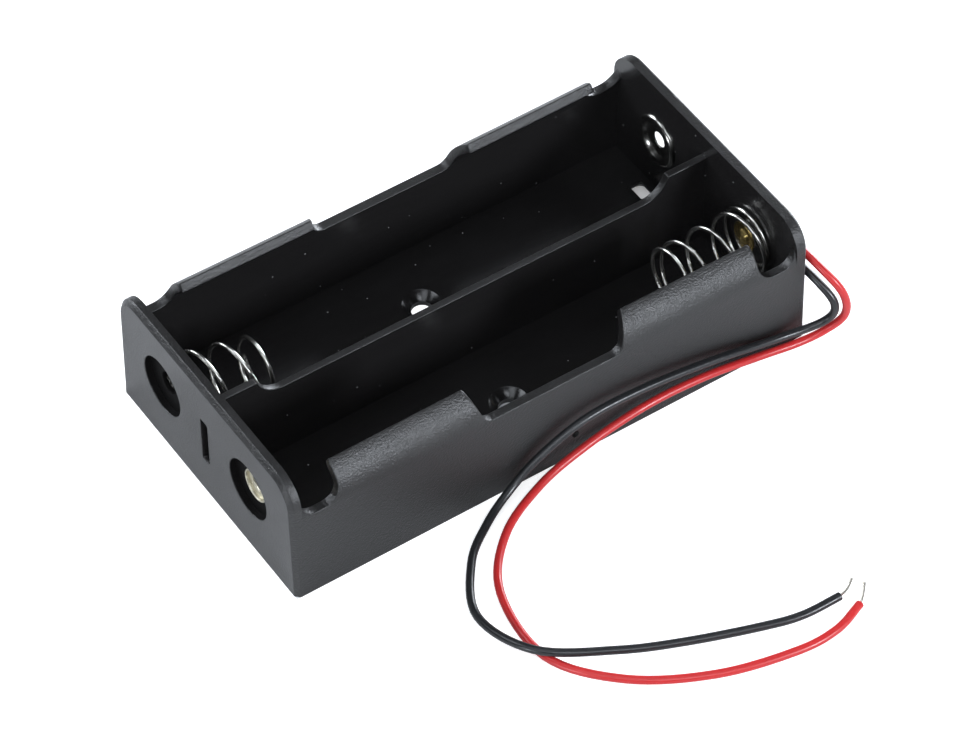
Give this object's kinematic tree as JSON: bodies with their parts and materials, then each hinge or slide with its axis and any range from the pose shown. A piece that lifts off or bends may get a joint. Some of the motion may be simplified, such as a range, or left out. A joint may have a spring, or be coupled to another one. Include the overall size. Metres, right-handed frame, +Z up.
{
  "type": "cylindrical cell holder",
  "caption": "Open plastic tray that holds cylindrical cells side by side in series, with coil spring contacts, pressed plus contacts and a pair of flying leads.",
  "frame": {"origin": "middle of the underside, on the face that the tray stands on", "axes": "+X along the cells towards the end with the leads, +Y across the cells, +Z up out of the open top"},
  "size_m": [0.0814, 0.0828, 0.0196],
  "materials": {
    "case": "satin moulded ABS, black",
    "spring": "bright nickel-plated spring wire",
    "contact": "nickel-plated pressed steel",
    "strip": "nickel-plated steel strip",
    "rivet": "bare brass",
    "red_sheath": "red PVC sheath",
    "black_sheath": "black PVC sheath",
    "strands": "tinned copper strands",
    "solder": "solder, dull bright"
  },
  "bodies": {
    "tray": {"case": "case", "far_contact": "contact", "near_contact": "contact", "link_strip": "strip", "spring_rivet": "rivet", "red_lead": "red_sheath", "red_strands": "strands", "red_solder": "solder", "black_lead": "black_sheath", "black_strands": "strands", "black_solder": "solder"},
    "front_coil": {"front_spring": "spring"},
    "rear_coil": {"rear_spring": "spring"}
  },
  "joints": [
    {"name": "front_spring_press", "type": "slide", "parent": "tray", "child": "front_coil", "axis": [1, 0, 0], "range_m": [0, 0.007], "stiffness_N_per_m": 450, "deforming": ["front_spring"]},
    {"name": "rear_spring_press", "type": "slide", "parent": "tray", "child": "rear_coil", "axis": [-1, 0, 0], "range_m": [0, 0.007], "stiffness_N_per_m": 450, "deforming": ["rear_spring"]}
  ]
}
